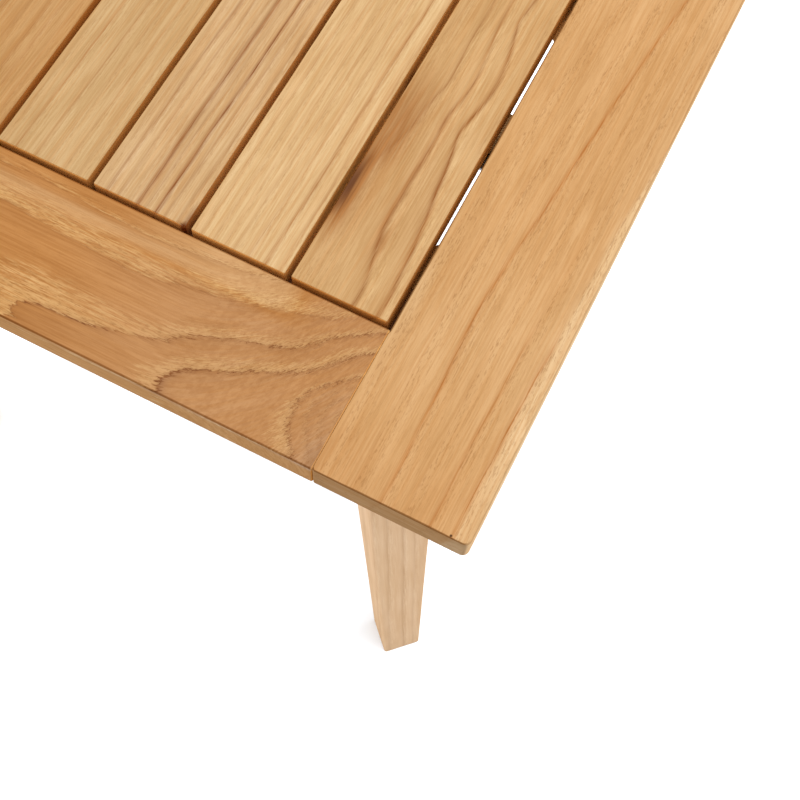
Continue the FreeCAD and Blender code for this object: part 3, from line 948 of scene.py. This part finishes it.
def front_rail_figure(along, across, depth):
    """Flat-sawn grain round a knot: the ring field, less a ring for every 7 mm of depth.

    Ring 2 is dark at its tip and ring 4 has a soft line. The top is greyer to the right, in the eye and in
    the front corner, with sapwood along its inner edge, and the ledge under the slats is painted dark as
    shade.
    """
    face = front_rail_field(along, across)
    growth = np.where(face < 1, 1 - EYE_RINGS * (1 - face), face) - depth / RING_DEPTH
    soft_line = bump(growth, 4, 0.12)
    tip = smooth(1.88, 2.0, face) * smooth(2.1, 2.02, face) * bump(along, 64, 12)
    strength = np.interp(growth, RAIL_NUMBERS, RAIL_STRENGTHS) * (1 - 0.7 * soft_line)
    strength = (strength + 3 * tip) * plain_below(depth)
    on_top_face = smooth(5, 1, depth)
    eye = smooth(1.0, 0.7, face) * bump(along, KNOT[0], 30) * bump(across, KNOT[1], 26)
    inner = smooth(-187, -174, across) * smooth(125, 95, along)
    inner_left = smooth(-176, -169, across) * smooth(60, -20, along)
    front_corner = smooth(138, 156, along) * smooth(-224, -244, across)
    # Painted shade on the ledge under the slats' ends, given by the deepest tint
    ledge = smooth(8, 10, depth) * smooth(-159.8, -159.0, across)
    grey = (0.5 * smooth(-40, 60, along) + 0.12 * bump(along, 80, 30)) * (1 - inner)
    sap = 0.42 * inner * (1 - inner_left)
    tint = (grey - sap + 0.35 * eye + 0.55 * front_corner) * on_top_face + 1.85 * ledge
    early = EARLY_ENDS[np.clip(np.floor(growth), 0, len(EARLY_ENDS) - 1).astype(int)]
    return growth, strength, tint, early


# Where the front rail's fibre starts to climb, in mm, and how fast it climbs and shortens from there
CLIMB_START = 50
CLIMB = 0.008
SHORTENING = 0.02
WILDEST = 1.4


def front_rail_run(along, across):
    """Level fibre at the left that climbs by 0.008 (along - 50)^2 to the knot, and gets short and wild."""
    near = np.maximum(along - CLIMB_START, 0) ** 2
    return along + SHORTENING * near, across - CLIMB * near, WILDEST * smooth(30, 100, along)


# Where the rear rail's arches have their tip and ridge, how wide their rings are, in mm, and their waves
ARCH_TIP = -260
ARCH_RIDGE = 212
ARCH_SPREAD = 15
ARCH_WAVE = (130, 60)
ARCH_SWAY = 0.07
ARCH_SEED = 6


def rear_rail_figure(along, across, depth):
    """Flat-sawn grain with arches open to the left: hypot(rise, (across - ridge) / spread) - depth / 7."""
    rise = 0.15 * np.abs(along - ARCH_TIP) ** 0.6
    growth = np.hypot(rise, (across - ARCH_RIDGE) / ARCH_SPREAD) - depth / RING_DEPTH
    growth = growth + ARCH_SWAY * waves(ARCH_SEED, along, across, *ARCH_WAVE)
    strength = (0.65 + 0.25 * np.sin(2.1 * growth)) * plain_below(depth)
    return growth, strength, np.zeros_like(along), np.full_like(along, EARLY_SHARE)


def rail_outline():
    """The front rail's section in (y, z): a board with a ledge along its inner edge for the slats' ends."""
    low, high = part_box("front_rail")
    slat_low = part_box("slat_3")[0]
    edge = slat_low[1] - SLAT_END_GAP
    corners = (
        (low[1], low[2]),
        (high[1], low[2]),
        (high[1], slat_low[2]),
        (edge, slat_low[2]),
        (edge, high[2]),
        (low[1], high[2]),
    )
    return outline_points(corners, FRAME_EASE, FRAME_STEP)


def eased_stations(reach):
    """Where the rail's section is drawn along X, and how far it is drawn in there to ease the ends."""
    turn = np.radians(np.linspace(90, 0, QUARTER_POINTS))
    ends = reach - FRAME_EASE * (1 - np.sin(turn))
    insets = FRAME_EASE * (1 - np.cos(turn))
    count = math.ceil(2 * (reach - FRAME_EASE * FLAT_MARGIN) / FRAME_STEP) + 1
    middle = np.linspace(-1, 1, count) * (reach - FRAME_EASE * FLAT_MARGIN)
    stations = np.concatenate([-ends, middle, ends[::-1]])
    return stations, np.concatenate([insets, np.zeros(count), insets[::-1]])


def bored(piece, centres, low, high):
    """Cuts round holes of the screw heads' size out of a piece, from low to high."""
    turn = np.arange(HOLE_SIDES) * 2 * np.pi / HOLE_SIDES
    ring = SCREW_HOLE_RADIUS * np.stack([np.cos(turn), np.sin(turn)], -1)
    walls = []
    lids = []
    points = []
    for order, centre in enumerate(centres):
        floor = np.column_stack([ring + centre, np.full(HOLE_SIDES, low)])
        roof = np.column_stack([ring + centre, np.full(HOLE_SIDES, high)])
        number = np.arange(2 * HOLE_SIDES).reshape(2, HOLE_SIDES) + order * 2 * HOLE_SIDES
        walls += quads(np.concatenate([number, number[:, :1]], 1).T).tolist()
        lids += [number[0][::-1].tolist(), number[1].tolist()]
        points += [floor, roof]
    drill = new_object("screw_holes", new_mesh("screw_holes", np.concatenate(points), walls + lids))
    cut = piece.modifiers.new("holes", "BOOLEAN")
    cut.object = drill
    cut.operation = "DIFFERENCE"
    cut.solver = "EXACT"
    shaped = piece.evaluated_get(bpy.context.evaluated_depsgraph_get())
    drilled = bpy.data.meshes.new_from_object(shaped)
    piece.modifiers.clear()
    piece.data = drilled
    bpy.data.objects.remove(drill)


# The rails' rounded edges get a softer painted shade, their rounded ends a painted golden highlight where
# they meet the stiles, and their sides painted light
RAIL_TEAK = {
    "Pale": on_top(224, 174, 114),
    "Brown": on_top(196, 135, 77),
    "Line": on_top(144, 91, 55),
    "Stain": on_top(200, 153, 110),
    "RimShade": (0.6, 0.48, 0.37, 1.0),
    "End": (1.6, 1.5, 1.1, 1.0),
    "WallLightAndShade": (1.25, 1.5, 2.0, 1.0),
    "Lines": 0.9,
    "Sharp": 1.0,
    "Porous": 1.0,
    "Teeth": 1.0,
    "Fine": 0.6,
}


def build_rails():
    """The two boards between the stiles, with the slats' ledge and the screws' holes below it."""
    outline = rail_outline()
    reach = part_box("right_stile")[0][0]
    stations, insets = eased_stations(reach)
    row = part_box("slat_end_screws")[1][1] - SCREW_HOLE_RADIUS
    columns = [np.mean(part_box(slat), axis=0)[0] for slat in SLATS]
    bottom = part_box("front_rail")[0][2]
    rails = (
        ("front_rail", -1, front_rail_figure, front_rail_run),
        ("rear_rail", 1, rear_rail_figure, None),
    )
    for seed, (node, side, figure, run) in enumerate(rails, 3):
        section = outline if side < 0 else (outline * (-1, 1))[::-1]
        piece = new_piece(node + "_board", *carried_skin(section, stations, insets))
        centres = [np.array((x, side * row)) for x in columns]
        bored(piece, centres, bottom - SCREW_HOLE_SINK, bottom + SCREW_HOLE_SINK)
        piece.data.shade_smooth()
        x, y, z = in_mm(piece.data)
        lay_grain(piece, (x, y, TOP - z), (1, 0, 0), figure, seed, run, False)
        stand_for(piece, node, board_teak(node + "_teak", **RAIL_TEAK))


# Slats: places, in mm, on the growth rings of the first one, along it, then across
SLAT_1_RINGS = {
    0: ((-155, 60), (0, 92), (150, 92)),
    1: ((-155, 97), (-110, 100), (-77.5, 102.5), (-60, 105.6), (-45, 110), (0, 117), (60, 116), (150, 116)),
    2: ((-155, 135), (-137.5, 133.7), (-119, 130), (-102.5, 127), (-81, 127.2), (-56, 127.5), (-35, 128),
        (60, 126), (150, 126)),
    3: ((-155, 149.6), (-131, 149.4), (-110, 148), (-90, 146), (-69, 143), (-47.5, 140.6), (-30, 137.5),
        (60, 135), (150, 135)),
    4: ((-155, 170), (-60, 162), (60, 152), (150, 152)),
}
slat_1_field = ring_field(SLAT_1_RINGS)
SLAT_1_STRENGTHS = (0.2, 0.5, 0.75, 1.0, 0.2)
SLAT_1_LEAN = 0.04


def slat_1_figure(along, across, depth):
    """Lines that open out towards the front, from the ring field, with brown stains in the front half."""
    growth = slat_1_field(along, across) + SLAT_1_LEAN * depth
    rear_fade = 0.4 * smooth(-20, 80, along)
    front_fade = 0.9 * bump(growth, 1, 0.5) * smooth(-75, -110, along)
    strength = np.interp(growth, list(SLAT_1_RINGS), SLAT_1_STRENGTHS) * (1 - rear_fade) * (1 - front_fade)
    front_half = smooth(20, -40, along)
    left_edge = smooth(-140, -105, along) * smooth(114, 100, across - 6 * smooth(-80, -55, along))
    core = bump(along, -88, 22) * smooth(105.5, 99, across)
    band = bump(growth, 2.03, 0.07) * smooth(-130, -105, along)
    cloud = bump(along, -116, 12) * bump(across, 130.5, 4)
    warm = smooth(-130, -95, along)
    sap = smooth(3.0, 3.3, growth)
    tint = 0.75 * left_edge + 0.85 * core + 0.6 * band + 0.55 * cloud + 0.12 * warm - 0.3 * sap
    return growth, strength, tint * front_half, np.full_like(along, EARLY_SHARE)


SLAT_SLANT = 0.01
SLAT_LEAN = 0.3
# The slats' ends get painted golden light and their sides a painted deep orange shade, as in the narrow
# gaps, and their rounded edges a light painted shade
SLAT_TEAK = {
    "End": (2.0, 1.35, 0.7, 1.0),
    "RimShade": (0.92, 0.8, 0.64, 1.0),
    "WallLightAndShade": (1.4, 0.9, 0.45, 1.0),
    "Porous": 0.5,
    "Fine": 0.6,
}

# The slats: their teak and, but for the first, growth rings as places across and strengths
SLATS = {
    "slat_1": {
        "teak": {"Pale": on_top(229, 187, 133), "Brown": on_top(215, 171, 118), "Contrast": 0.8,
                 "Line": on_top(160, 102, 56), "Lines": 1.2, "Stain": on_top(168, 108, 58),
                 "DeepTint": on_top(84, 54, 46)},
    },
    "slat_2": {
        "rings": ((25, 0.1), (36, 0.15), (41, 0.5), (49, 0.3), (56, 0.2), (62.5, 0.35), (72, 0.4),
                  (82, 0.9), (91, 0.5), (100, 0.2)),
        "teak": {"Pale": on_top(238, 203, 152), "Brown": on_top(229, 190, 138), "Contrast": 0.5},
    },
    "slat_3": {
        "rings": ((-40, 0.2), (-25, 0.1), (-18.7, 0.5), (-11.5, 0.3), (-5, 0.1), (0.8, 1.0), (6, 0.1),
                  (12.6, 1.0), (18.7, 0.3), (26.5, 0.35), (40, 0.2)),
        "teak": {"Pale": on_top(236, 199, 152), "Brown": on_top(221, 181, 132), "Line": on_top(148, 88, 48),
                 "Lines": 1.1},
    },
    "slat_4": {
        "rings": ((-105, 0.2), (-88, 0.2), (-79, 0.6), (-65.6, 0.5), (-57, 0.25), (-47, 0.3), (-38, 0.3),
                  (-20, 0.2)),
        "teak": {"Pale": on_top(227, 193, 141), "Brown": on_top(215, 176, 125), "Contrast": 0.5},
    },
    "slat_5": {
        "rings": ((-175, 0.2), (-150, 0.4), (-141, 0.7), (-128, 0.3), (-117, 0.6), (-110, 0.4), (-101, 0.3),
                  (-85, 0.2)),
        "teak": {"Pale": on_top(220, 176, 122), "Brown": on_top(206, 158, 104), "Contrast": 0.6},
    },
}

# The slat with a chipped corner, and its brown bands: strength, and middle and reach across in mm
CHIPPED_SLAT = "slat_3"
BROWN_BANDS = ((0.4, 0.4, 2.2), (0.4, 12.5, 1.1), (0.25, -18.9, 0.9))


def chip_mask(points):
    """1 in the chip at the right front corner of the slat's upper edge, and 0 away from it."""
    x, y, z = points.T / MM
    return smooth(25.5, 27.5, x) * smooth(-154.5, -155.6, y) * smooth(TOP - 6, TOP - 2, z)


def chip_tint(along, across, inside):
    """Fibres torn in the chip, a reddish stain on the edge behind it, and brown bands along some rings."""
    torn = smooth(25.5, 27, across) * smooth(-154.5, -155.4, along)
    edge = smooth(27.2, 28.8, across) * smooth(-136, -150, along)
    bands = sum(strength * bump(inside, middle, reach) for strength, middle, reach in BROWN_BANDS)
    return np.maximum(2 * torn, 0.7 * edge + bands)


def build_slats():
    """Five slats between the rails, one of them with a chipped corner."""
    for seed, (node, look) in enumerate(SLATS.items(), 11):
        low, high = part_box(node)
        points, faces = eased_block(low, high, SLAT_EASE, (SLAT_CORNER, SLAT_CORNER), FRAME_STEP, seed)
        figure = slat_1_figure
        tinted = None
        if node == CHIPPED_SLAT:
            points[:, 2] -= CHIP_DEPTH * chip_mask(points)
            tinted = chip_tint
        if "rings" in look:
            figure = straight_figure(look["rings"], slant(SLAT_SLANT), SLAT_LEAN, seed, tinted)
        piece = new_piece(node + "_board", points, faces)
        x, y, z = in_mm(piece.data)
        lay_grain(piece, (y, x, TOP - z), (0, 1, 0), figure, seed)
        stand_for(piece, node, board_teak(node + "_teak", **SLAT_TEAK, **look["teak"]))


# Legs
# The legs' cut ends get a dark tint, end grain darkened further as painted shade under the top, and their
# rounded edges a light painted shade
LEG_TEAK = {
    "Pale": colour(183, 156, 127),
    "Brown": colour(177, 148, 118),
    "Line": colour(138, 108, 80),
    "Contrast": 0.8,
    "Lines": 0.6,
    "Porous": 0.1,
    "Fine": 0.17,
    "End": (0.4, 0.22, 0.12, 1.0),
    "RimShade": (1.0, 0.9, 0.8, 1.0),
}
LEG_RINGS = ((-45, 0.2), (-24, 0.3), (-13, 0.6), (-3, 0.5), (9, 0.7), (17, 0.4), (28, 0.3), (45, 0.2))
LEG_SLANT = 0.012
LEG_LEAN = 0.5


def build_legs():
    """Four legs: square tapers turned 45 degrees, that stand out along the diagonals.

    At a share f of its height a leg's section is the foot's square scaled up to the head's, with its middle
    moved inwards along the diagonal in proportion to f.
    """
    for seed, (corner, signs) in enumerate(CORNERS.items(), 21):
        node = "leg_" + corner
        outward = np.array(signs) / math.sqrt(2)
        sideways = np.array((-signs[1], signs[0])) / math.sqrt(2)
        cad = mesh_values(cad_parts[node].data, "co")
        out = cad[:, :2] @ outward
        height = cad[:, 2].max()
        foot = out[cad[:, 2] < LEG_EDGE]
        head = out[cad[:, 2] > height - LEG_EDGE]
        foot_size = np.ptp(foot)
        head_size = np.ptp(head)
        half = foot_size / 2
        low = (-half, -half, 0)
        high = (half, half, height)
        block, faces = eased_block(low, high, LEG_END_EASE, (LEG_EDGE, LEG_EDGE), LEG_STEP, seed)
        share = block[:, 2] / height
        grow = 1 + share * (head_size / foot_size - 1)
        middle = (foot.min() + half) + share * (head.min() + head_size / 2 - foot.min() - half)
        deep = middle + block[:, 0] * grow
        wide = block[:, 1] * grow
        points = np.column_stack([deep[:, None] * outward + wide[:, None] * sideways, block[:, 2]])
        piece = new_piece(node + "_post", points, faces)
        figure = straight_figure(LEG_RINGS, slant(LEG_SLANT), LEG_LEAN, seed)
        place = (block[:, 2] / MM, wide / MM, block[:, 0] * grow / MM)
        lay_grain(piece, place, (0, 0, 1), figure, seed)
        stand_for(piece, node, board_teak(node + "_teak", **LEG_TEAK))


# Underframe and fittings
BRACE_TEAK = {
    "Pale": on_top(207, 145, 86),
    "Brown": on_top(190, 124, 66),
}
BATTEN_SEED = 2.5
BRACE_SEED = 4.5

# Steels: bright and dull shade, strength of relief, and the nodes that have it
STEELS = {
    "bracket_steel_drawn": (colour(150, 150, 150), colour(104, 104, 104), 0.2,
                            ("bracket_right", "bracket_left")),
    "screw_steel_bright": (colour(190, 188, 184), colour(130, 128, 124), 0.1,
                           ("slat_end_screws", "slat_middle_screws", "bracket_screws", "brace_screws")),
    "bolt_steel_bright": (colour(182, 182, 182), colour(120, 120, 118), 0.15,
                          ("leg_bolts", "leg_washers", "leg_nuts")),
}


def dress_fittings():
    """Teak on the batten and braces, steel on the brackets, screws and bolts."""
    dress("centre_batten", plain_teak("batten_teak", 0.0, BATTEN_SEED))
    for index, (corner, signs) in enumerate(CORNERS.items()):
        turn = -math.atan2(signs[0], -signs[1])
        teak = plain_teak(f"brace_{index + 1}_teak", turn, BRACE_SEED + index, **BRACE_TEAK)
        dress("brace_" + corner, teak)
    for name, (bright, dull, relief, nodes) in STEELS.items():
        metal = steel(name, bright, dull, relief)
        for node in nodes:
            dress(node, metal)


# Floor: its shades, clouds and gloss, its glow in general, a painted pool of light round a foot that washes
# out that foot's shadow, and that foot's place and the span between the glow and the painted light, in
# metres
FLOOR_SHADES = (colour(230, 235, 241), colour(233, 238, 243))
FLOOR_CLOUDS = 3.0
FLOOR_ROUGHNESS = 0.9
FLOOR_SHINE = 0.1
FLOOR_GLOW = 0.04
FOOT_PAINTED_LIGHT = 0.36
FOOT_PLACE = (-0.205, -0.205, 0.0)
GLOW_REACH = (0.06, 0.3)


def build_floor():
    """A pale floor far past the view that glows a little, with a painted pool of light round the foot at
    the view's border that washes out its shadow.
    """
    half = FLOOR_HALF
    corners = ((-half, -half, 0), (half, -half, 0), (half, half, 0), (-half, half, 0))
    floor = new_object("floor", new_mesh("floor", corners, [(0, 1, 2, 3)]))
    wire, shader, material = shader_material("floor_white")
    place = wire.node("ShaderNodeTexCoord").outputs["Object"]
    # Painted light round the foot, so that its shadow doesn't show
    glow = wire.step(*GLOW_REACH, wire.distance(place, FOOT_PLACE), FOOT_PAINTED_LIGHT, FLOOR_GLOW)
    wire.join(wire.mix(wire.noise(place, FLOOR_CLOUDS), *FLOOR_SHADES), shader.inputs["Base Color"])
    wire.join(glow, shader.inputs["Emission Strength"])
    shader.inputs["Emission Color"].default_value = WHITE
    shader.inputs["Roughness"].default_value = FLOOR_ROUGHNESS
    shader.inputs["Specular IOR Level"].default_value = FLOOR_SHINE
    floor.data.materials.append(material)


# Light: its strength from all round, and each softbox's place, the point that it faces, size and power
AMBIENT = 1.35
SOFTBOXES = {
    "softbox_above": ((0.5, 0.9, 2.6), (0, 0.2, 0.4), 3.0, 124),
    "softbox_left": ((-2.6, -1.8, 0.75), (0, 0, 0.25), 1.3, 45),
}


def area_light(name, place, aim, size, power):
    """A square softbox at a place, facing a point."""
    data = bpy.data.lights.new(name, "AREA")
    data.shape = "SQUARE"
    data.size = size
    data.energy = power
    light = new_object(name, data)
    away = np.array(place) - np.array(aim)
    turn_z = math.atan2(away[0], -away[1])
    turn_x = math.acos(away[2] / np.linalg.norm(away))
    light.rotation_euler = (turn_x, 0, turn_z)
    light.location = place


def build_light():
    """White light from all round, a large softbox above and behind, and a smaller one low at the left."""
    world = bpy.data.worlds.new("studio")
    world.use_nodes = True
    background = world.node_tree.nodes["Background"]
    background.inputs["Color"].default_value = WHITE
    background.inputs["Strength"].default_value = AMBIENT
    bpy.context.scene.world = world
    for name, softbox in SOFTBOXES.items():
        area_light(name, *softbox)


def build_camera():
    """The camera, turned by its roll, then its tilt, then its yaw."""
    data = bpy.data.cameras.new("camera")
    data.lens = CAMERA_LENS
    data.sensor_width = SENSOR_WIDTH
    camera = new_object("camera", data)
    turned = Matrix.Identity(4)
    for angle, axis in ((CAMERA_YAW, "Z"), (CAMERA_TILT, "X"), (CAMERA_ROLL, "Z")):
        turned = turned @ Matrix.Rotation(math.radians(angle), 4, axis)
    camera.matrix_world = Matrix.Translation(CAMERA_PLACE) @ turned
    bpy.context.scene.camera = camera


build_stiles()
build_rails()
build_slats()
build_legs()
dress_fittings()
build_floor()
build_light()
build_camera()
bpy.context.scene.view_settings.view_transform = "Standard"
